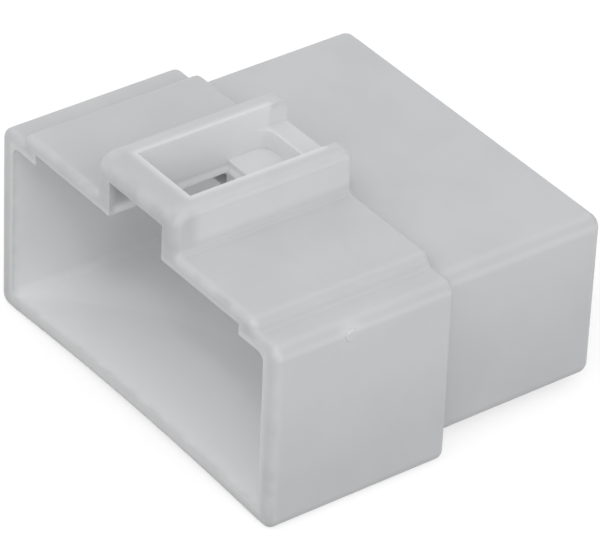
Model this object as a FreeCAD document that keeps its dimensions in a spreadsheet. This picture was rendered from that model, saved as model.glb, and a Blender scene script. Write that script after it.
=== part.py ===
import FreeCAD, Part
import Sketcher
import math
import os

# Hooded connector housing for eight blade terminals, moulded in one piece.
# Local frame of the body: X across the width, Y from the open mouth to the wire side,
# Z up, with the origin at the middle of the mouth. The body's placement then stands it on Z = 0
# with the middle of its footprint at the origin.

os.makedirs("parts", exist_ok=True)
doc = FreeCAD.newDocument("ConnectorHousing")

# Driving dimensions in millimetres: alias, value, meaning
DIMENSIONS = [
    ("blade_width", 6.3, "width of the flat blade that each terminal carries"),
    ("blade_thick", 0.8, "thickness of that blade"),
    ("blade_room", 0.3, "clearance all round a blade in its slot"),
    ("blade_drop", 0.3, "how far the blade lies from the cavity's middle"),
    ("terminal_side", 0.4, "room in a terminal cavity beyond each edge of the blade"),
    ("cavity_height", 5.8, "terminal cavity height"),
    ("column_wall", 1.5, "wall between neighbouring terminal cavities of a row"),
    ("row_wall", 1.7, "wall between the two rows of terminal cavities"),
    ("block_side_wall", 1.8, "wall beside the outermost terminal cavities"),
    ("block_top_wall", 1.6, "wall above and below the terminal cavities"),
    ("block_depth", 17.45, "length of the terminal block behind the hood"),
    ("block_corner", 1.25, "radius along the block's long corners"),
    ("block_edge", 0.95, "radius round the wire side"),
    ("hood_side_step", 2.0, "how far the hood stands out beyond each side of the block"),
    ("hood_top_step", 0.975, "how far the hood stands out above and below the block"),
    ("hood_depth", 18.4, "mouth to the back of the hood"),
    ("hood_corner", 1.15, "radius along the hood's four long corners"),
    ("side_wall", 1.85, "hood side wall"),
    ("top_wall", 1.25, "hood top wall beside the crown"),
    ("floor_wall", 1.5, "hood bottom wall"),
    ("inner_corner", 0.8, "radius along the inside corners of the hood"),
    ("hood_back", 2.0, "front of the bulkhead to the back of the hood"),
    ("lip_draw", 0.55, "how far the bottom lip is drawn in at the middle of the mouth"),
    ("lip_inset", 2.25, "side of the hood to the drawn-in stretch of the lip"),
    ("lip_run", 12.0, "depth at which the bottom wall is straight again"),
    ("crown_inset", 3.35, "side of the hood to the raised crown"),
    ("crown_rise", 1.05, "height of the crown above the hood"),
    ("crown_upright", 0.15, "height of the crown's side below the radius along its top edges"),
    ("crown_foot", 0.7, "radius where the crown meets the hood"),
    ("crown_wall", 1.25, "wall over the raised part of the cavity"),
    ("crown_side_wall", 2.0, "side of the crown to the raised part of the cavity"),
    ("guard_rise", 4.1, "height of the guard walls above the crown"),
    ("guard_wall", 1.95, "thickness of each guard wall"),
    ("guard_nose", 1.5, "radius of the guard's front top edge"),
    ("guard_tail", 1.0, "radius of the guard's rear top edge"),
    ("guard_foot", 0.5, "radius where the guard meets the crown"),
    ("channel_width", 7.7, "clear width between the guard walls"),
    ("tie_wall", 2.1, "thickness of the tie wall behind the channel"),
    ("channel_corner", 1.2, "plan radius at the channel's rear corners"),
    ("arch_depth", 2.8, "depth of the lock arch"),
    ("arch_bar", 1.95, "thickness of the lock arch's bar"),
    ("latch_depth", 12.3, "mouth to the end of the latch slot"),
    ("tie_drop", 2.2, "step down from the guard walls to the tie wall"),
    ("rim_edge", 0.7, "radius round the mouth, the guard and the back of the hood"),
    ("bulkhead", 1.8, "wall between the hood's cavity and the terminal cavities"),
    ("cavity_lead", 0.3, "chamfer round each terminal cavity's mouth"),
    ("lance_width", 3.4, "width of the slot for the terminal's lance"),
    ("lance_bite", 0.7, "depth of that slot in the outer wall of the cavity"),
    ("lance_reach", 5.8, "length of that slot behind the bulkhead"),
    ("lance_drop", 1.2, "height of that slot below the cavity's outer wall"),
    ("gate_radius", 0.6, "radius of the gate mark on the side"),
    ("gate_height", 0.12, "height of the gate mark"),
    ("gate_depth", 7.6, "mouth to the middle of the gate mark"),
    ("gate_below", 1.15, "top of the hood to the middle of the gate mark"),
    ("gate_round", 0.1, "radius round the gate mark"),
]

# Terminals in each of the two rows
COLUMNS = 4

# Spare length of a cut beyond the material, the spare shares of the lip's slope and of its turn,
# and how near an edge's box must come to a limit to count as on it
OVERCUT = 1.0
SLOPE_SPARE = 0.2
TURN_SPARE = 0.05
TOLERANCE = 0.01

DEGREES = 180 / math.pi


class Size:
    """A length that is known as a number and as an expression of the sheet's cells."""

    def __init__(self, value, text):
        self.value = value
        self.text = text

    def joined(self, sign, other, value):
        other_text = other.text if isinstance(other, Size) else repr(other)
        return Size(value, "(" + self.text + " " + sign + " " + other_text + ")")

    def __add__(self, other):
        return self.joined("+", other, self.value + number(other))

    def __sub__(self, other):
        return self.joined("-", other, self.value - number(other))

    def __mul__(self, other):
        return self.joined("*", other, self.value * number(other))

    def __truediv__(self, other):
        return self.joined("/", other, self.value / number(other))

    def __neg__(self):
        return Size(-self.value, "(-1 * " + self.text + ")")


def number(size):
    return size.value if isinstance(size, Size) else size


class Dimensions:
    """The spreadsheet's cells as Size attributes."""

    def __init__(self, document, table):
        self.sheet = document.addObject("Spreadsheet::Sheet", "Dimensions")
        for row, (alias, value, meaning) in enumerate(table, start=1):
            self.sheet.set("A" + str(row), alias)
            self.sheet.set("B" + str(row), str(value))
            self.sheet.set("C" + str(row), meaning)
            self.sheet.setAlias("B" + str(row), alias)
            setattr(self, alias, Size(value, "Dimensions." + alias))
        document.recompute()


dim = Dimensions(doc, DIMENSIONS)
ZERO = Size(0.0, "0")

# The terminals set the block, and the block sets the hood round it
cavity_width = dim.blade_width + dim.terminal_side * 2
column_pitch = cavity_width + dim.column_wall
row_pitch = dim.cavity_height + dim.row_wall
first_column = -(column_pitch * (COLUMNS - 1) / 2)
upper_row = row_pitch / 2
chamber_reach = cavity_width / 2 - first_column
chamber_top = upper_row + dim.cavity_height / 2
block_side = chamber_reach + dim.block_side_wall
block_top = chamber_top + dim.block_top_wall
hood_side = block_side + dim.hood_side_step
hood_top = block_top + dim.hood_top_step
hood_bottom = -hood_top

# Levels and stations of the hood
mating_depth = dim.hood_depth - dim.hood_back
bulkhead_back = mating_depth + dim.bulkhead
crown_side = hood_side - dim.crown_inset
crown_room_side = crown_side - dim.crown_side_wall
lip_side = hood_side - dim.lip_inset
crown_top = hood_top + dim.crown_rise
crown_edge = dim.crown_rise - dim.crown_upright
guard_top = crown_top + dim.guard_rise
channel_side = dim.channel_width / 2
guard_side = channel_side + dim.guard_wall
channel_end = dim.hood_depth - dim.tie_wall
overall_depth = dim.hood_depth + dim.block_depth
cavity_floor = hood_bottom + dim.floor_wall
cavity_ceiling = hood_top - dim.top_wall
crown_ceiling = crown_top - dim.crown_wall
cavity_side = hood_side - dim.side_wall
arch_under = guard_top - dim.arch_bar
tie_top = guard_top - dim.tie_drop

housing = doc.addObject("PartDesign::Body", "housing")
housing.Label = "housing"


def origin_feature(body, role):
    return next(item for item in body.Origin.OriginFeatures if item.Role == role)


def bind(feature, prop, size):
    feature.setExpression(prop, size.text)


def new_sketch(body, name, plane, offset):
    """A sketch on one of the body's origin planes, moved along that plane's normal."""
    sketch = body.newObject("Sketcher::SketchObject", name)
    sketch.AttachmentSupport = (origin_feature(body, plane), [""])
    sketch.MapMode = "FlatFace"
    sketch.AttachmentOffset = FreeCAD.Placement(FreeCAD.Vector(0, 0, offset.value), FreeCAD.Rotation())
    bind(sketch, "AttachmentOffset.Base.z", offset)
    return sketch


def across(body, name, depth):
    """A sketch that looks along the depth: its x is X and its y is Z."""
    return new_sketch(body, name, "XZ_Plane", -depth)


def fix_point(sketch, curve, end, place):
    """Hold one end of a curve at a place measured from the sketch's origin."""
    for kind, size in zip(("DistanceX", "DistanceY"), place):
        if size.value >= 0:
            index = sketch.addConstraint(Sketcher.Constraint(kind, -1, 1, curve, end, size.value))
            bind(sketch, "Constraints[" + str(index) + "]", size)
        else:
            index = sketch.addConstraint(Sketcher.Constraint(kind, curve, end, -1, 1, -size.value))
            bind(sketch, "Constraints[" + str(index) + "]", -size)


def point(place):
    return FreeCAD.Vector(place[0].value, place[1].value, 0)


def draw_outline(sketch, places):
    """A closed outline of straight lines through the places."""
    count = len(places)
    curves = []
    for index in range(count):
        line = Part.LineSegment(point(places[index]), point(places[(index + 1) % count]))
        curves.append(sketch.addGeometry(line, False))
    for index in range(count):
        following = curves[(index + 1) % count]
        sketch.addConstraint(Sketcher.Constraint("Coincident", curves[index], 2, following, 1))
    for curve, place in zip(curves, places):
        fix_point(sketch, curve, 1, place)


def draw_rectangle(sketch, low, high):
    draw_outline(sketch, [low, (high[0], low[1]), high, (low[0], high[1])])


def hold_radius(sketch, curve, radius):
    index = sketch.addConstraint(Sketcher.Constraint("Radius", curve, radius.value))
    bind(sketch, "Constraints[" + str(index) + "]", radius)


def draw_lip_section(sketch, level, radius):
    """What the lip's cut removes below a level: a rounded front edge, then a slope down to the level."""
    lifted = level + dim.lip_draw
    centre = (radius, lifted + radius)
    top = (ZERO, centre[1])
    low = (centre[0], lifted)
    slope_end = (radius + (dim.lip_run - radius) * (1 + SLOPE_SPARE), level - dim.lip_draw * SLOPE_SPARE)
    outside = (ZERO - OVERCUT, slope_end[1])
    outside_top = (outside[0], top[1])
    circle = Part.Circle(point(centre), FreeCAD.Vector(0, 0, 1), radius.value)
    arc = sketch.addGeometry(Part.ArcOfCircle(circle, math.pi, math.pi * 3 / 2), False)
    lines = []
    for start, finish in ((low, slope_end), (slope_end, outside), (outside, outside_top), (outside_top, top)):
        lines.append(sketch.addGeometry(Part.LineSegment(point(start), point(finish)), False))
    for curve, following in zip([arc] + lines, lines + [arc]):
        sketch.addConstraint(Sketcher.Constraint("Coincident", curve, 2, following, 1))
    for line, place in zip(lines[1:], (slope_end, outside, outside_top)):
        fix_point(sketch, line, 1, place)
    fix_point(sketch, arc, 3, centre)
    hold_radius(sketch, arc, radius)
    sketch.addConstraint(Sketcher.Constraint("Horizontal", arc, 1, arc, 3))
    sketch.addConstraint(Sketcher.Constraint("Vertical", arc, 2, arc, 3))


def extrude(body, kind, name, sketch, length, reverse):
    """A pad or pocket of a sketch, whose length is bound to the sheet."""
    feature = body.newObject("PartDesign::" + kind, name)
    feature.Profile = sketch
    feature.Length = length.value
    bind(feature, "Length", length)
    feature.Reversed = reverse
    sketch.Visibility = False
    doc.recompute()
    return feature


def pad_inward(body, name, sketch, length):
    return extrude(body, "Pad", name, sketch, length, True)


def pocket_inward(body, name, sketch, length):
    return extrude(body, "Pocket", name, sketch, length, False)


def turn(body, kind, name, sketch, radius, top):
    """A groove or revolution of a depth profile about a far axis, on which its top has that radius."""
    near = (ZERO, top - radius)
    far = (dim.lip_run, top - radius)
    axis = sketch.addGeometry(Part.LineSegment(point(near), point(far)), True)
    fix_point(sketch, axis, 1, near)
    fix_point(sketch, axis, 2, far)
    feature = body.newObject("PartDesign::" + kind, name)
    feature.Profile = sketch
    feature.ReferenceAxis = (sketch, ["Axis0"])
    feature.Midplane = True
    feature.Angle = lip_turn.value
    bind(feature, "Angle", lip_turn)
    sketch.Visibility = False
    doc.recompute()
    return feature


def within(box, low, high):
    """Whether a bounding box lies inside the corners low and high, give or take the tolerance."""
    least = (box.XMin, box.YMin, box.ZMin)
    most = (box.XMax, box.YMax, box.ZMax)
    above = all(value > number(limit) - TOLERANCE for value, limit in zip(least, low))
    below = all(value < number(limit) + TOLERANCE for value, limit in zip(most, high))
    return above and below


def edges_inside(feature, low, high):
    """Names of the edges that lie wholly inside a box, corners included."""
    return ["Edge" + str(index) for index, edge in enumerate(feature.Shape.Edges, start=1)
            if within(edge.BoundBox, low, high)]


def long_edges(feature, low, high):
    """Edges inside the box that run the depth of the hood or block, not across it."""
    names = []
    for name in edges_inside(feature, low, high):
        box = feature.Shape.getElement(name).BoundBox
        if box.YLength > max(box.XLength, box.ZLength) and box.YLength > TOLERANCE:
            names.append(name)
    return names


def dress(body, kind, name, base, edges, prop, size):
    """A fillet or chamfer on named edges of the base feature."""
    feature = body.newObject("PartDesign::" + kind, name)
    feature.Base = (base, edges)
    setattr(feature, prop, size.value)
    bind(feature, prop, size)
    doc.recompute()
    return feature


def fillet(body, name, base, edges, radius):
    return dress(body, "Fillet", name, base, edges, "Radius", radius)


# Hood: a rounded block, solid until its cavity is cut

hood_sketch = across(housing, "hood_outline", ZERO)
draw_rectangle(hood_sketch, (-hood_side, hood_bottom), (hood_side, hood_top))
hood = pad_inward(housing, "hood", hood_sketch, dim.hood_depth)
hood = fillet(housing, "hood_corners", hood,
              long_edges(hood, (-hood_side, 0, hood_bottom), (hood_side, dim.hood_depth, hood_top)),
              dim.hood_corner)

# Crown: the raised strip that carries the latch, rounded along its top

crown_sketch = across(housing, "crown_outline", ZERO)
draw_rectangle(crown_sketch, (-crown_side, cavity_ceiling), (crown_side, crown_top))
crown = pad_inward(housing, "crown", crown_sketch, dim.hood_depth)
crown = fillet(housing, "crown_edges", crown,
               long_edges(crown, (-crown_side, 0, crown_top), (crown_side, dim.hood_depth, crown_top)),
               crown_edge)
crown = fillet(housing, "crown_feet", crown,
               long_edges(crown, (-crown_side, 0, hood_top), (crown_side, dim.hood_depth, hood_top)),
               dim.crown_foot)

# Guard: one block over the crown, from which the channel and the arch are cut

guard_sketch = new_sketch(housing, "guard_profile", "YZ_Plane", -guard_side)
draw_rectangle(guard_sketch, (ZERO, cavity_ceiling), (dim.hood_depth, guard_top))
guard = extrude(housing, "Pad", "guard", guard_sketch, guard_side * 2, False)
guard = fillet(housing, "guard_nose_round", guard,
               edges_inside(guard, (-guard_side, 0, guard_top), (guard_side, 0, guard_top)), dim.guard_nose)
guard = fillet(housing, "guard_tail_round", guard,
               edges_inside(guard, (-guard_side, dim.hood_depth, guard_top),
                            (guard_side, dim.hood_depth, guard_top)), dim.guard_tail)
guard = fillet(housing, "guard_feet", guard,
               long_edges(guard, (-guard_side, 0, crown_top), (guard_side, dim.hood_depth, crown_top)),
               dim.guard_foot)

# The rim of the mouth, the guard's outer edges and the back of the hood run into each other
# through the foot radii, so one fillet goes round all of them

flank_low = (-guard_side, 0, crown_top + dim.guard_foot)
flank_high = (guard_side, dim.hood_depth, guard_top)
flank_edges = [name for name in edges_inside(guard, flank_low, flank_high)
               if guard.Shape.getElement(name).BoundBox.XLength < TOLERANCE]
fillet(housing, "rims", guard, flank_edges, dim.rim_edge)

# The bottom lip is drawn in at the mouth. Its section, rounded like the rest of the rim and sloping
# back to the bottom wall, turns about a far axis below the hood, so it dies out towards the sides.

lip_radius = (lip_side * lip_side + dim.lip_draw * dim.lip_draw) / (dim.lip_draw * 2)
lip_turn = lip_side / lip_radius * (2 * DEGREES * (1 + TURN_SPARE))
lip_sketch = new_sketch(housing, "lip_profile", "YZ_Plane", ZERO)
draw_lip_section(lip_sketch, hood_bottom, dim.rim_edge)
turn(housing, "Groove", "drawn_in_lip", lip_sketch, lip_radius, hood_bottom + dim.lip_draw)

# Channel between the guard walls, closed behind by a lower tie wall

channel_sketch = new_sketch(housing, "channel_plan", "XY_Plane", guard_top)
draw_rectangle(channel_sketch, (-channel_side, dim.arch_depth), (channel_side, dim.hood_depth + OVERCUT))
extrude(housing, "Pocket", "channel", channel_sketch, dim.tie_drop, False)

well_sketch = new_sketch(housing, "well_plan", "XY_Plane", tie_top)
draw_rectangle(well_sketch, (-channel_side, dim.arch_depth), (channel_side, channel_end))
well = extrude(housing, "Pocket", "well", well_sketch, tie_top - crown_top, False)
well_corners = []
for side in (-channel_side, channel_side):
    well_corners += edges_inside(well, (side, channel_end, crown_top), (side, channel_end, tie_top))
fillet(housing, "well_corners", well, well_corners, dim.channel_corner)

# Terminal block behind the hood

block_sketch = across(housing, "block_outline", dim.hood_depth - OVERCUT)
draw_rectangle(block_sketch, (-block_side, -block_top), (block_side, block_top))
block = pad_inward(housing, "block", block_sketch, dim.block_depth + OVERCUT)
block = fillet(housing, "block_corners", block,
               long_edges(block, (-block_side, dim.hood_depth, -block_top),
                          (block_side, overall_depth, block_top)), dim.block_corner)
fillet(housing, "block_rim", block,
       edges_inside(block, (-block_side, overall_depth, -block_top),
                    (block_side, overall_depth, block_top)), dim.block_edge)

# Cavity that the mating plug enters, with its raised ceiling under the crown

cavity_sketch = across(housing, "mating_outline", ZERO)
draw_rectangle(cavity_sketch, (-cavity_side, cavity_floor), (cavity_side, cavity_ceiling))
cavity = pocket_inward(housing, "mating_cavity", cavity_sketch, mating_depth)
fillet(housing, "mating_corners", cavity,
       long_edges(cavity, (-cavity_side, 0, cavity_floor),
                  (cavity_side, mating_depth, cavity_ceiling)), dim.inner_corner)

raised_sketch = across(housing, "raised_outline", ZERO)
draw_rectangle(raised_sketch, (-crown_room_side, cavity_ceiling - OVERCUT), (crown_room_side, crown_ceiling))
pocket_inward(housing, "raised_ceiling", raised_sketch, mating_depth)

# The cavity's floor follows the drawn-in lip

floor_sketch = new_sketch(housing, "floor_profile", "YZ_Plane", ZERO)
floor_under = cavity_floor - dim.lip_draw * SLOPE_SPARE
draw_outline(floor_sketch, [(ZERO, floor_under), (dim.lip_run * (1 + SLOPE_SPARE), floor_under),
                            (ZERO, cavity_floor + dim.lip_draw)])
turn(housing, "Revolution", "raised_floor", floor_sketch, lip_radius, cavity_floor + dim.lip_draw)

# Slot for the mating plug's latch: open at the mouth, under the arch and through the crown

latch_sketch = across(housing, "latch_outline", ZERO)
draw_rectangle(latch_sketch, (-channel_side, crown_ceiling - OVERCUT), (channel_side, arch_under))
pocket_inward(housing, "latch_slot", latch_sketch, dim.latch_depth)

# Terminal cavities: one at the first column of the upper row, repeated over columns and rows.
# Each is a chamber open to the wire side, a blade slot in the bulkhead, and a slot along the
# outer wall that a front core leaves, whose end is the shoulder for the terminal's lance.

chamber_side = cavity_width / 2
chamber_sketch = across(housing, "chamber_outline", overall_depth)
draw_rectangle(chamber_sketch, (first_column - chamber_side, upper_row - dim.cavity_height / 2),
               (first_column + chamber_side, chamber_top))
chamber = extrude(housing, "Pocket", "chamber", chamber_sketch, overall_depth - bulkhead_back, True)

blade_side = dim.blade_width / 2 + dim.blade_room
blade_half = dim.blade_thick / 2 + dim.blade_room
blade_level = upper_row - dim.blade_drop
blade_sketch = across(housing, "blade_outline", mating_depth)
draw_rectangle(blade_sketch, (first_column - blade_side, blade_level - blade_half),
               (first_column + blade_side, blade_level + blade_half))
blade = pocket_inward(housing, "blade_slot", blade_sketch, dim.bulkhead)

lance_side = dim.lance_width / 2
lance_sketch = across(housing, "lance_outline", mating_depth)
draw_rectangle(lance_sketch, (first_column - lance_side, chamber_top - dim.lance_drop),
               (first_column + lance_side, chamber_top + dim.lance_bite))
lance = pocket_inward(housing, "lance_slot", lance_sketch, dim.bulkhead + dim.lance_reach)

columns = housing.newObject("PartDesign::LinearPattern", "columns")
columns.Direction = (origin_feature(housing, "X_Axis"), [""])
columns.Length = (first_column * -2).value
bind(columns, "Length", first_column * -2)
columns.Occurrences = COLUMNS
rows = housing.newObject("PartDesign::Mirrored", "rows")
rows.MirrorPlane = (origin_feature(housing, "XY_Plane"), [""])
cavities = housing.newObject("PartDesign::MultiTransform", "cavities")
cavities.Originals = [chamber, blade, lance]
cavities.Transformations = [columns, rows]
housing.Tip = cavities
doc.recompute()

rear_low = (-chamber_reach, overall_depth, -chamber_top)
rear_high = (chamber_reach, overall_depth, chamber_top)
dress(housing, "Chamfer", "cavity_leads", cavities, edges_inside(cavities, rear_low, rear_high),
      "Size", dim.cavity_lead)

# Gate mark on the right side, near the top

gate_sketch = new_sketch(housing, "gate_outline", "YZ_Plane", hood_side - dim.side_wall / 2)
gate_centre = (dim.gate_depth, hood_top - dim.gate_below)
circle = gate_sketch.addGeometry(Part.Circle(point(gate_centre), FreeCAD.Vector(0, 0, 1),
                                             dim.gate_radius.value), False)
fix_point(gate_sketch, circle, 3, gate_centre)
hold_radius(gate_sketch, circle, dim.gate_radius)
gate = extrude(housing, "Pad", "gate_mark", gate_sketch, dim.side_wall / 2 + dim.gate_height, False)
gate_face = hood_side + dim.gate_height
gate = fillet(housing, "gate_mark_round", gate,
              edges_inside(gate, (gate_face, 0, hood_bottom), (gate_face, dim.hood_depth, hood_top)),
              dim.gate_round)

# The body stands on its hood, with the middle of its footprint at the origin

housing.Placement = FreeCAD.Placement(FreeCAD.Vector(0, -overall_depth.value / 2, hood_top.value),
                                      FreeCAD.Rotation())
bind(housing, "Placement.Base.y", -overall_depth / 2)
bind(housing, "Placement.Base.z", hood_top)
housing.Tip = gate
doc.recompute()

for item in doc.Objects:
    if "Invalid" in item.State or "Error" in item.State:
        raise RuntimeError(item.Name + " could not be built")

shape = housing.Shape
if shape.isNull() or not shape.isValid() or len(shape.Solids) != 1:
    raise RuntimeError("the housing is not one sound solid")
shape.exportStep("parts/housing.step")
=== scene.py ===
"""Studio picture of a hooded connector housing moulded in milky nylon.

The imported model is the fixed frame: the housing is never moved, and only its material is made
here. Lengths are metres in the row's frame: X across the width, Y from the open mouth to the wire
side, Z up.
"""

import logging
import math
from dataclasses import dataclass, field
from enum import Enum
from typing import Any, Iterable, Mapping, Union

import bpy
import numpy as np
from mathutils import Matrix, Vector


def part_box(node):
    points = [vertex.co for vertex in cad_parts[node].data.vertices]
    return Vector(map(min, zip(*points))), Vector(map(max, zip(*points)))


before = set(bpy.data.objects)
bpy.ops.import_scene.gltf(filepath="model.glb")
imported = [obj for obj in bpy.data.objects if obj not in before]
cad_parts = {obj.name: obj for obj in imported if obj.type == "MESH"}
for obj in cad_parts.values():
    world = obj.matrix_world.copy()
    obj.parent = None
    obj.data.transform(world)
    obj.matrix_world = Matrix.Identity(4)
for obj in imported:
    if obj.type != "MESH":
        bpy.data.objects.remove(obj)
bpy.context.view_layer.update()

LOG = logging.getLogger("connector_housing")
MM = 0.001

Number = Union[int, float]
Colour = tuple[float, float, float, float]
Span = tuple[float, float]
WHITE: Colour = (1.0, 1.0, 1.0, 1.0)


class Signal:
    """A number that varies over a surface. Its operators add the Math nodes that work it out."""

    def __init__(self, graph: "Graph", socket: bpy.types.NodeSocket) -> None:
        """Wrap a socket.

        Args:
            graph: the material's graph, in which the Math nodes are made.
            socket: the output that carries the number.
        """
        self.graph = graph
        self.socket = socket

    def _math(self, operation: str, *values: Any) -> "Signal":
        """Add one Math node.

        Args:
            operation: the node's operation.
            values: its inputs in order, as signals or plain numbers.

        Returns:
            The node's output.
        """
        node = self.graph.node(
            "ShaderNodeMath", {"operation": operation}, dict(enumerate(values)))
        return Signal(self.graph, node.outputs[0])

    def __add__(self, other: Any) -> "Signal":
        """This number plus another."""
        return self._math("ADD", self, other)

    def __radd__(self, other: Any) -> "Signal":
        """Another number plus this one."""
        return self._math("ADD", other, self)

    def __sub__(self, other: Any) -> "Signal":
        """This number minus another."""
        return self._math("SUBTRACT", self, other)

    def __rsub__(self, other: Any) -> "Signal":
        """Another number minus this one."""
        return self._math("SUBTRACT", other, self)

    def __mul__(self, other: Any) -> "Signal":
        """This number times another."""
        return self._math("MULTIPLY", self, other)

    def __rmul__(self, other: Any) -> "Signal":
        """Another number times this one."""
        return self._math("MULTIPLY", other, self)

    def size(self) -> "Signal":
        """The number without its sign."""
        return self._math("ABSOLUTE", self)

    def greater(self, other: Any) -> "Signal":
        """The larger of this number and another."""
        return self._math("MAXIMUM", self, other)

    def fade(self, start: Number, end: Number) -> "Signal":
        """A smooth step over the number.

        Args:
            start: the value at which the step is 0.
            end: the value at which it is 1. It may be the smaller of the two.

        Returns:
            A signal from 0 to 1.
        """
        low, high, first, last = (start, end, 0.0, 1.0) if start < end else (end, start, 1.0, 0.0)
        node = self.graph.node(
            "ShaderNodeMapRange", {"interpolation_type": "SMOOTHSTEP"},
            {"Value": self, "From Min": low, "From Max": high, "To Min": first, "To Max": last})
        return Signal(self.graph, node.outputs["Result"])


class Graph:
    """The node graph of one material, or of the world."""

    def __init__(self, owner: Union[bpy.types.Material, bpy.types.World]) -> None:
        """Empty the owner's graph.

        Args:
            owner: the material or world.
        """
        self.owner = owner
        owner.use_nodes = True
        self.tree = owner.node_tree
        self.tree.nodes.clear()

    def node(self, kind: str, settings: Mapping[str, Any] | None = None,
             inputs: Mapping[Any, Any] | None = None) -> bpy.types.Node:
        """Make any node.

        Args:
            kind: the node's type.
            settings: its properties, set before its sockets.
            inputs: values or links of its sockets, by name or number.

        Returns:
            The node.
        """
        made = self.tree.nodes.new(kind)
        for key, value in (settings or {}).items():
            setattr(made, key, value)
        for key, value in (inputs or {}).items():
            if isinstance(value, Signal):
                value = value.socket
            if isinstance(value, bpy.types.NodeSocket):
                self.tree.links.new(value, made.inputs[key])
            else:
                made.inputs[key].default_value = value
        return made

    def place(self) -> bpy.types.NodeSocket:
        """The point's place in the row's frame, as a vector."""
        return self.node("ShaderNodeTexCoord").outputs["Object"]

    def facing(self) -> bpy.types.NodeSocket:
        """The way that the surface faces in the row's frame, as a vector."""
        return self.node("ShaderNodeTexCoord").outputs["Normal"]

    def axes(self, vector: bpy.types.NodeSocket) -> tuple[Signal, Signal, Signal]:
        """The three parts of a vector.

        Args:
            vector: the vector's output.

        Returns:
            Its X, Y and Z.
        """
        parts = self.node("ShaderNodeSeparateXYZ", None, {0: vector}).outputs
        return Signal(self, parts[0]), Signal(self, parts[1]), Signal(self, parts[2])

    def vector_math(self, operation: str, *values: Any) -> bpy.types.Node:
        """Add one Vector Math node.

        Args:
            operation: the node's operation.
            values: its vectors in order.

        Returns:
            The node, whose first output is the vector and whose second is the number.
        """
        return self.node(
            "ShaderNodeVectorMath", {"operation": operation}, dict(enumerate(values)))

    def scaled(self, vector: bpy.types.NodeSocket, factor: float) -> bpy.types.NodeSocket:
        """A vector times a plain number.

        Args:
            vector: the vector's output.
            factor: the number.

        Returns:
            The longer or shorter vector.
        """
        node = self.node(
            "ShaderNodeVectorMath", {"operation": "SCALE"}, {0: vector, "Scale": factor})
        return node.outputs[0]

    def noise(self, vector: bpy.types.NodeSocket, grain: float, detail: float = 2.0) -> Signal:
        """Clouds of a given size.

        Args:
            vector: the place at which they are read, in metres.
            grain: the width of one cloud, in metres.
            detail: how many finer layers are added.

        Returns:
            A signal from 0 to 1 around 0.5.
        """
        node = self.node("ShaderNodeTexNoise", {"noise_dimensions": "3D"},
                         {"Vector": vector, "Scale": 1.0 / grain, "Detail": detail})
        return Signal(self, node.outputs["Fac"])

    def mix(self, factor: Signal, first: Any, second: Any) -> bpy.types.NodeSocket:
        """Blend two colours.

        Args:
            factor: 0 gives the first colour and 1 the second.
            first: a colour or the output that carries it.
            second: a colour or the output that carries it.

        Returns:
            The blended colour.
        """
        node = self.node(
            "ShaderNodeMix", {"data_type": "RGBA", "blend_type": "MIX", "clamp_factor": True},
            {0: factor, 6: first, 7: second})
        return node.outputs[2]

    def inside(self, place: bpy.types.NodeSocket, room: "Room") -> Signal:
        """The inside of a box, whose mask fades out over a short way beyond its faces: the product
        of six fades, one for each face.

        Args:
            place: the place at which it is read, in metres.
            room: the box.

        Returns:
            A signal that is 1 inside and 0 outside.
        """
        mask = None
        for value, least, most in zip(self.axes(place), room.low, room.high):
            along = value.fade(least - room.edge, least) * value.fade(most + room.edge, most)
            mask = along if mask is None else mask * along
        return mask

    def seen(self) -> Signal:
        """Tell what the camera sees from the light that falls on other surfaces.

        Returns:
            1 for a ray from the camera, straight, mirrored or through something clear, else 0.
        """
        path = self.node("ShaderNodeLightPath").outputs
        straight, mirrored, through = (Signal(self, path[name]) for name in (
            "Is Camera Ray", "Is Glossy Ray", "Is Transmission Ray"))
        return straight.greater(mirrored).greater(through)

    def finish(self, shader: bpy.types.NodeSocket) -> Any:
        """Send a shader to the surface.

        Args:
            shader: the shader's output.

        Returns:
            The finished material or world.
        """
        kind = "World" if isinstance(self.owner, bpy.types.World) else "Material"
        self.node("ShaderNodeOutput" + kind, None, {"Surface": shader})
        return self.owner


@dataclass(frozen=True)
class Room:
    """A box in which painted light lifts the nylon's colour; at the arch's nose painted shade greys
    it instead.

    Its share says how strongly at its front, its deep share how strongly at its back, and its edge
    how far the change spreads beyond it.
    """

    low: Vector
    high: Vector
    share: float
    deep_share: float
    edge: float

    @classmethod
    def across(cls, side: float, along: Span, up: Span, shares: Span, edge: float) -> "Room":
        """A box that lies evenly about the middle plane.

        Args:
            side: half its width.
            along: its lowest and highest Y.
            up: its lowest and highest Z.
            shares: its share and its deep share.
            edge: how far the change spreads beyond it.

        Returns:
            The box.
        """
        low, high = Vector((-side, along[0], up[0])), Vector((side, along[1], up[1]))
        return cls(low, high, *shares, edge)


@dataclass(frozen=True)
class PaintedLightPlaces:
    """The places at which painted light and painted shade change the nylon's colour.

    They are the gate, with its painted highlight, the Y of the mouth's plane, where the rim gets
    painted light, the hollow spaces and thin walls that get painted light for light shining
    through, the outer walls that get painted light towards their upper edges, and the arch's nose
    that gets painted shade.
    """

    gate: Vector
    mouth: float
    painted_glow_boxes: tuple[Room, ...]
    walls: tuple[Room, ...]
    painted_nose_shade: Room


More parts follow.
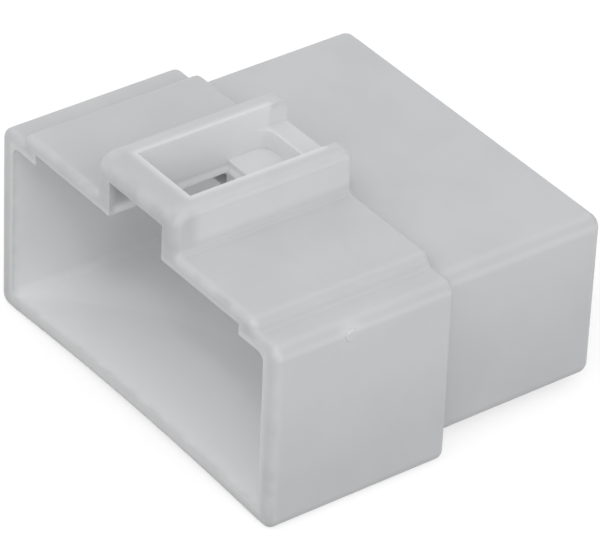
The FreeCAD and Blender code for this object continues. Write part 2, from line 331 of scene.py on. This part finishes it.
@dataclass(frozen=True)
class MilkyNylon:
    """Unfilled natural nylon, straight from the mould: milky, a little see-through, satin."""

    body: Colour = (0.628, 0.634, 0.644, 1.0)
    cloud: Colour = (0.600, 0.607, 0.619, 1.0)
    # painted highlight at the gate, and painted light on the mouth's rim
    painted_light_tone: Colour = (0.720, 0.725, 0.732, 1.0)
    # painted light for hollow spaces and thin walls that light shines through
    painted_glow: Colour = (0.915, 0.920, 0.927, 1.0)
    # painted shade on the rounded edges and the arch's nose
    painted_shade: Colour = (0.440, 0.446, 0.455, 1.0)
    roughness: float = 0.40
    roughness_play: float = 0.10
    ior: float = 1.53
    shine: float = 0.20
    skin: float = 0.14
    skin_roughness: float = 0.16
    subsurface: float = 0.3
    depth: float = 1.2 * MM
    depth_by_colour: tuple[float, float, float] = (1.0, 0.98, 0.95)
    cloud_grain: float = 9.0 * MM
    cloud_detail: float = 3.0
    cloud_limits: Span = (0.35, 0.65)
    flow_grain: float = 1.6 * MM
    flow_fan: float = 12.0 * MM
    flow_drift: float = 0.12
    flow_limits: Span = (0.4, 0.62)
    flow_share: float = 0.18
    # share of the painted light on the outer walls, lighter towards their upper edges
    painted_wall_light_share: float = 0.21
    # painted shade on the rounded edges
    painted_edge_shade_share: float = 0.22
    painted_edge_shade_limits: Span = (1.0, 0.76)
    # painted highlight around the gate
    painted_highlight_reach: Span = (1.9 * MM, 0.4 * MM)
    painted_highlight_share: float = 0.6
    # painted light in patches on the mouth's rim
    painted_rim_reach: Span = (0.9 * MM, 0.1 * MM)
    painted_rim_grain: float = 2.2 * MM
    painted_rim_limits: Span = (0.3, 0.7)
    painted_rim_share: float = 0.55
    texture_grain: float = 0.22 * MM
    texture_height: float = 0.006 * MM
    waviness_grain: float = 5.0 * MM
    waviness_detail: float = 1.0
    waviness_height: float = 0.03 * MM

    def build(self, painted_places: PaintedLightPlaces) -> bpy.types.Material:
        """Make the material.

        Args:
            painted_places: the places at which its colour changes.

        Returns:
            The material.
        """
        graph = Graph(bpy.data.materials.new("milky_nylon"))
        place = graph.place()
        clouds = graph.noise(place, self.cloud_grain, self.cloud_detail)
        grain = graph.noise(place, self.texture_grain)
        play = (clouds - 0.5) * self.roughness_play + (grain - 0.5) * self.roughness_play
        shader = graph.node("ShaderNodeBsdfPrincipled", {"subsurface_method": "RANDOM_WALK"}, {
            "Base Color": self._colour(graph, place, clouds, painted_places),
            "Roughness": self.roughness + play,
            "IOR": self.ior,
            "Specular IOR Level": self.shine,
            "Coat Weight": self.skin,
            "Coat Roughness": self.skin_roughness,
            "Subsurface Weight": self.subsurface,
            "Subsurface Radius": self.depth_by_colour,
            "Subsurface Scale": self.depth,
            "Normal": self._relief(graph, place, grain),
        })
        return graph.finish(shader.outputs[0])

    def _colour(self, graph: Graph, place: bpy.types.NodeSocket, clouds: Signal,
                painted_places: PaintedLightPlaces) -> bpy.types.NodeSocket:
        """The nylon's colour: clouds and streaks, with painted shade on the rounded edges and the
        arch's nose, painted light on the outer walls towards their upper edges and on hollow spaces
        and thin walls, a painted highlight at the gate, and painted light on the mouth's rim.

        Args:
            graph: the material's graph.
            place: the point's place.
            clouds: the clouds in the nylon.
            painted_places: the places at which the colour changes.

        Returns:
            The colour's output.
        """
        from_gate = graph.vector_math("SUBTRACT", place, tuple(painted_places.gate)).outputs[0]
        reach = Signal(graph, graph.vector_math("LENGTH", from_gate).outputs["Value"])
        flow = self._flow(graph, from_gate).fade(*self.flow_limits) * self.flow_share
        tone = clouds.fade(*self.cloud_limits) * (1.0 - self.flow_share) + flow
        # painted shade on the arch's nose
        painted_nose_shade = graph.inside(place, painted_places.painted_nose_shade) * painted_places.painted_nose_shade.share
        # painted shade on the arch's nose and the rounded edges, over the nylon's clouds and streaks
        plain = graph.mix(self._painted_edge_shade(graph).greater(painted_nose_shade),
                          graph.mix(tone, self.body, self.cloud), self.painted_shade)
        # painted light on the outer walls, lighter towards their upper edges
        lifted = graph.mix(self._painted_wall_light(graph, place, painted_places.walls), plain, self.painted_glow)
        # painted light on hollow spaces and thin walls, standing in for light that shines through
        with_painted_glow = graph.mix(self._painted_glow(graph, place, painted_places.painted_glow_boxes), lifted, self.painted_glow)
        # painted highlight at the gate, and painted light in patches on the mouth's rim
        painted_highlight_mask = reach.fade(*self.painted_highlight_reach) * self.painted_highlight_share
        painted_light_mask = painted_highlight_mask + self._painted_rim(graph, place, painted_places.mouth) * self.painted_rim_share
        return graph.mix(painted_light_mask, with_painted_glow, self.painted_light_tone)

    def _flow(self, graph: Graph, from_gate: bpy.types.NodeSocket) -> Signal:
        """Faint streaks that fan out from the gate, as the melt ran: noise read on the direction
        from the gate, which is the same all along a ray, with a small share of the place itself.

        Args:
            graph: the material's graph.
            from_gate: the point's place as seen from the gate.

        Returns:
            A signal from 0 to 1 around 0.5.
        """
        ray = graph.vector_math("NORMALIZE", from_gate).outputs[0]
        fan = graph.scaled(ray, self.flow_fan)
        drift = graph.scaled(from_gate, self.flow_drift)
        return graph.noise(graph.vector_math("ADD", fan, drift).outputs[0], self.flow_grain)

    def _painted_glow(self, graph: Graph, place: bpy.types.NodeSocket, painted_glow_boxes: Iterable[Room]) -> Signal:
        """Painted light on the faces of hollow spaces and thin walls, standing in for light from
        outside that shines through: the strongest of the boxes' masks, each of which changes evenly
        from its front share to its deep share.

        Args:
            graph: the material's graph.
            place: the point's place.
            painted_glow_boxes: the boxes.

        Returns:
            A signal from 0 to 1.
        """
        _, along, _ = graph.axes(place)
        painted_glow = None
        for room in painted_glow_boxes:
            back = along.fade(room.low.y, room.high.y)
            share = room.share + back * (room.deep_share - room.share)
            mask = graph.inside(place, room) * share
            painted_glow = mask if painted_glow is None else painted_glow.greater(mask)
        return painted_glow

    def _painted_wall_light(self, graph: Graph, place: bpy.types.NodeSocket, walls: Iterable[Room]) -> Signal:
        """Painted light on the outer walls, lighter towards the upper edge: strongest just under the
        edge, and gone at the wall's foot.

        Args:
            graph: the material's graph.
            place: the point's place.
            walls: the boxes around the outer walls, of which Y and Z count.

        Returns:
            A signal from 0 to the share of the painted light.
        """
        _, along, up = graph.axes(place)
        carried = None
        for wall in walls:
            low, high, edge = wall.low, wall.high, wall.edge
            within = along.fade(low.y - edge, low.y) * along.fade(high.y + edge, high.y)
            down = up.fade(low.z, high.z) * up.fade(high.z + edge, high.z)
            mask = within * down * self.painted_wall_light_share
            carried = mask if carried is None else carried.greater(mask)
        return carried

    def _painted_edge_shade(self, graph: Graph) -> Signal:
        """Painted shade on the rounded edges: where the surface faces none of the three axes.

        Args:
            graph: the material's graph.

        Returns:
            A signal from 0 to the share of the painted shade.
        """
        across, along, up = (part.size() for part in graph.axes(graph.facing()))
        return across.greater(along).greater(up).fade(*self.painted_edge_shade_limits) * self.painted_edge_shade_share

    def _painted_rim(self, graph: Graph, place: bpy.types.NodeSocket, mouth: float) -> Signal:
        """Painted light on the mouth's edge: near the mouth's plane, in patches.

        Args:
            graph: the material's graph.
            place: the point's place.
            mouth: the Y of the mouth's plane.

        Returns:
            A signal from 0 to 1.
        """
        _, along, _ = graph.axes(place)
        near = (along - mouth).fade(*self.painted_rim_reach)
        return near * graph.noise(place, self.painted_rim_grain).fade(*self.painted_rim_limits)

    def _relief(self, graph: Graph, place: bpy.types.NodeSocket,
                grain: Signal) -> bpy.types.NodeSocket:
        """The surface's own relief: long shallow waves from cooling, and the mould's fine texture.

        Args:
            graph: the material's graph.
            place: the point's place.
            grain: the texture's grain.

        Returns:
            The bumped normal.
        """
        waves = graph.noise(place, self.waviness_grain, self.waviness_detail)
        height = waves * self.waviness_height + grain * self.texture_height
        bump = graph.node(
            "ShaderNodeBump", None, {"Strength": 1.0, "Distance": 1.0, "Height": height})
        return bump.outputs["Normal"]


class Node(Enum):
    """The CAD nodes that carry a finish."""

    HOUSING = "housing"


@dataclass
class Housing:
    """The moulded housing, carried over from the CAD model with its nylon finish.

    Depths run from the mouth's plane, heights from the floor.
    """

    gate_back: float = 7.6 * MM
    gate_height: float = 17.3 * MM
    side_wall: float = 1.85 * MM
    floor_wall: float = 1.5 * MM
    hood_depth: float = 18.4 * MM
    hood_wall: Span = (1.0 * MM, 17.5 * MM)
    hood_ceiling: float = 17.2 * MM
    recess_side: float = 14.9 * MM
    recess_ceiling: float = 18.25 * MM
    mating_depth: float = 16.4 * MM
    block_wall: Span = (4.0 * MM, 16.5 * MM)
    cells_side: float = 16.45 * MM
    cells_height: Span = (2.575 * MM, 15.875 * MM)
    crown_top: float = 19.5 * MM
    channel_width: float = 7.7 * MM
    channel_depth: Span = (2.8 * MM, 16.3 * MM)
    slot_end: float = 12.3 * MM
    guard_wall: float = 1.95 * MM
    guard_end: float = 20.0 * MM
    guard_margin: float = 1.05 * MM
    arch_foot: float = 20.3 * MM
    arch_nose: float = 1.7 * MM
    # shares of painted light in the boxes, and of painted shade on the arch's nose
    cavity_shares: Span = (1.0, 0.66)
    recess_shares: Span = (0.6, 0.6)
    slot_shares: Span = (1.0, 1.0)
    channel_shares: Span = (0.45, 0.55)
    guard_shares: Span = (0.34, 0.34)
    bulkhead_shares: Span = (1.0, 1.0)
    cells_shares: Span = (0.9, 0.9)
    painted_nose_shade_shares: Span = (0.30, 0.30)
    painted_wall_light_shares: Span = (1.0, 1.0)
    wall_edge: float = 0.6 * MM
    rim_edge: float = 0.45 * MM
    bulkhead_skin: float = 0.15 * MM
    bulkhead_edge: float = 0.3 * MM
    glow_edge: float = 0.9 * MM
    glow_spread: float = 1.4 * MM
    nylon: MilkyNylon = field(default_factory=MilkyNylon)

    def dress(self) -> bpy.types.Object:
        """Give the node its material.

        Returns:
            The node's object.
        """
        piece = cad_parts[Node.HOUSING.value]
        low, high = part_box(Node.HOUSING.value)
        gate = Vector((high.x, low.y + self.gate_back, self.gate_height))
        painted_places = PaintedLightPlaces(gate, low.y, self._painted_glow_boxes(low, high), self._painted_wall_light_boxes(low, high),
                      self._painted_nose_shade_box(low, high))
        piece.data.materials.clear()
        piece.data.materials.append(self.nylon.build(painted_places))
        return piece

    def _painted_glow_boxes(self, low: Vector, high: Vector) -> tuple[Room, ...]:
        """The boxes of painted light on hollow spaces and thin walls, standing in for light that
        shines through them.

        Args:
            low: the housing's lowest corner.
            high: its highest corner.

        Returns:
            The hood's cavity, the recess in its ceiling, the latch's slot with the space under the
            arch, the channel over the crown, the guard walls beside it, the front of the bulkhead,
            and the terminals' cells.
        """
        edge, spread, front = self.glow_edge, self.glow_spread, low.y
        side = -low.x - self.side_wall
        floor = low.z + self.floor_wall
        back = front + self.mating_depth
        channel_side = self.channel_width / 2
        channel_front, channel_back = (front + depth for depth in self.channel_depth)
        return (
            Room.across(side, (front + self.rim_edge, back), (floor, self.hood_ceiling),
                        self.cavity_shares, edge),
            Room.across(self.recess_side, (front + self.rim_edge, back),
                        (self.hood_ceiling, self.recess_ceiling), self.recess_shares, edge),
            Room.across(channel_side, (front + edge, front + self.slot_end),
                        (self.recess_ceiling, self.crown_top - edge), self.slot_shares, edge),
            Room.across(channel_side, (channel_front, channel_back), (self.crown_top, high.z),
                        self.channel_shares, edge),
            Room.across(channel_side + self.guard_wall, (channel_front, front + self.guard_end),
                        (self.crown_top + spread, high.z - self.guard_margin),
                        self.guard_shares, spread),
            Room.across(side, (back - self.bulkhead_skin, back + self.bulkhead_skin),
                        (floor, self.hood_ceiling), self.bulkhead_shares, self.bulkhead_edge),
            Room.across(self.cells_side, (back - self.bulkhead_skin, high.y - edge),
                        self.cells_height, self.cells_shares, edge),
        )

    def _painted_wall_light_boxes(self, low: Vector, high: Vector) -> tuple[Room, ...]:
        """The boxes of painted light on the outer walls of the hood and of the block, from foot to
        shoulder.

        Args:
            low: the housing's lowest corner.
            high: its highest corner.

        Returns:
            The hood's walls and the block's.
        """
        step, edge = low.y + self.hood_depth, self.wall_edge
        return (
            Room.across(high.x, (low.y, step - edge), self.hood_wall, self.painted_wall_light_shares, edge),
            Room.across(high.x, (step, high.y), self.block_wall, self.painted_wall_light_shares, edge),
        )

    def _painted_nose_shade_box(self, low: Vector, high: Vector) -> Room:
        """The box of painted shade on the lock arch's nose, which is thin and lies over the dark
        mouth.

        Args:
            low: the housing's lowest corner.
            high: its highest corner.

        Returns:
            The box around it.
        """
        return Room.across(
            self.channel_width / 2, (low.y - self.glow_edge, low.y + self.arch_nose),
            (self.arch_foot, high.z), self.painted_nose_shade_shares, self.glow_spread)


@dataclass(frozen=True)
class Lamp:
    """A soft square lamp that points at the object."""

    name: str
    azimuth: float
    elevation: float
    distance: float
    side: float
    watts: float

    def build(self, target: Vector) -> bpy.types.Object:
        """Make the lamp.

        Args:
            target: the point that it faces.

        Returns:
            The lamp's object.
        """
        data = bpy.data.lights.new(self.name, "AREA")
        data.shape = "SQUARE"
        data.size = self.side
        data.energy = self.watts
        lamp = bpy.data.objects.new(self.name, data)
        back = direction(self.azimuth, self.elevation)
        lamp.location = target + back * self.distance
        lamp.rotation_mode = "QUATERNION"
        lamp.rotation_quaternion = (-back).to_track_quat("-Z", "Y")
        bpy.context.scene.collection.objects.link(lamp)
        return lamp


@dataclass
class Studio:
    """A pale floor with no visible edge, an even sky, four soft lamps and a small one for glints."""

    floor_side: float = 2.4
    floor_points: int = 9
    floor_colour: Colour = (0.45, 0.45, 0.45, 1.0)
    floor_lift: float = 0.67
    sky: float = 0.58
    lamps: tuple[Lamp, ...] = (
        Lamp("front_key", 0.0, 48.0, 0.60, 0.40, 0.38),
        Lamp("front_right", 42.0, 40.0, 0.60, 0.40, 0.44),
        Lamp("right_fill", 95.0, 32.0, 0.60, 0.40, 0.80),
        Lamp("left_fill", -80.0, 16.0, 0.60, 0.40, 0.26),
        Lamp("glint", 48.0, 50.0, 0.60, 0.05, 0.19),
    )

    def build(self, target: Vector) -> None:
        """Make the floor, the sky and the lamps.

        Args:
            target: the point that the lamps face.
        """
        self._floor()
        self._sky()
        for lamp in self.lamps:
            lamp.build(target)

    def _floor(self) -> bpy.types.Object:
        """A flat square grid at Z = 0: X and Y run evenly from minus to plus half its side.

        Returns:
            The floor's object.
        """
        steps = np.linspace(-self.floor_side / 2, self.floor_side / 2, self.floor_points)
        across, along = np.meshgrid(steps, steps)
        points = np.stack([across, along, np.zeros_like(across)], axis=-1).reshape(-1, 3)
        count = self.floor_points
        cells = np.arange(count - 1)
        corner = (cells[:, None] * count + cells[None, :]).ravel()
        quads = np.stack([corner, corner + 1, corner + count + 1, corner + count], axis=-1)
        mesh = bpy.data.meshes.new("floor")
        mesh.from_pydata(points.tolist(), [], quads.tolist())
        mesh.materials.append(self._paper())
        floor = bpy.data.objects.new("floor", mesh)
        bpy.context.scene.collection.objects.link(floor)
        return floor

    def _paper(self) -> bpy.types.Material:
        """Matte white paper. What the camera sees is lifted a little, so that paper in full light
        is white, and the shadow stays.

        Returns:
            The material.
        """
        graph = Graph(bpy.data.materials.new("studio_paper"))
        paper = graph.node("ShaderNodeBsdfDiffuse", None, {"Color": self.floor_colour})
        lift = graph.node(
            "ShaderNodeEmission", None, {"Color": WHITE, "Strength": self.floor_lift})
        lifted = graph.node("ShaderNodeAddShader", None, {0: paper.outputs[0], 1: lift.outputs[0]})
        both = graph.node("ShaderNodeMixShader", None, {
            0: graph.seen(), 1: paper.outputs[0], 2: lifted.outputs[0]})
        return graph.finish(both.outputs[0])

    def _sky(self) -> None:
        """Set even light from all round, which the camera and reflections see as white."""
        graph = Graph(bpy.data.worlds.new("studio_sky"))
        light, white = (
            graph.node("ShaderNodeBackground", None, {"Color": WHITE, "Strength": strength})
            for strength in (self.sky, 1.0))
        both = graph.node("ShaderNodeMixShader", None, {
            0: graph.seen(), 1: light.outputs[0], 2: white.outputs[0]})
        bpy.context.scene.world = graph.finish(both.outputs[0])


@dataclass(frozen=True)
class Viewpoint:
    """The camera, placed on a line from the point that it looks at."""

    azimuth: float = 52.21
    elevation: float = 34.75
    roll: float = 2.64
    distance: float = 0.4215
    lens: float = 293.0
    sensor: float = 36.0
    clip: Span = (0.01, 10.0)
    target: tuple[float, float, float] = (1.32 * MM, -1.27 * MM, 8.37 * MM)

    def build(self) -> bpy.types.Object:
        """Make the scene's camera.

        Returns:
            The camera's object.
        """
        data = bpy.data.cameras.new("camera")
        data.lens = self.lens
        data.sensor_width = self.sensor
        data.clip_start, data.clip_end = self.clip
        camera = bpy.data.objects.new("camera", data)
        back = direction(self.azimuth, self.elevation)
        aim = (-back).to_track_quat("-Z", "Y").to_matrix()
        turn = aim @ Matrix.Rotation(math.radians(self.roll), 3, "Z")
        stand = Matrix.Translation(Vector(self.target) + back * self.distance)
        camera.matrix_world = stand @ turn.to_4x4()
        bpy.context.scene.collection.objects.link(camera)
        bpy.context.scene.camera = camera
        return camera


def direction(azimuth: float, elevation: float) -> Vector:
    """The unit vector towards a place seen from the object.

    Args:
        azimuth: degrees from the mouth's side, towards the right side.
        elevation: degrees above the floor.

    Returns:
        The vector.
    """
    turn, rise = math.radians(azimuth), math.radians(elevation)
    flat = math.cos(rise)
    return Vector((math.sin(turn) * flat, -math.cos(turn) * flat, math.sin(rise)))


def main() -> None:
    """Dress the housing, then set up the camera and the studio."""
    logging.basicConfig(level=logging.INFO, format="%(name)s: %(message)s")
    bpy.context.scene.view_settings.view_transform = "Standard"
    piece = Housing().dress()
    LOG.info("%s has the finish %s", piece.name, piece.data.materials[0].name)
    viewpoint = Viewpoint()
    camera = viewpoint.build()
    LOG.info("the camera stands at %s",
             [round(value, 4) for value in camera.matrix_world.translation])
    studio = Studio()
    studio.build(Vector(viewpoint.target))
    LOG.info("the studio has %d lamps", len(studio.lamps))


if __name__ == "__main__":
    main()
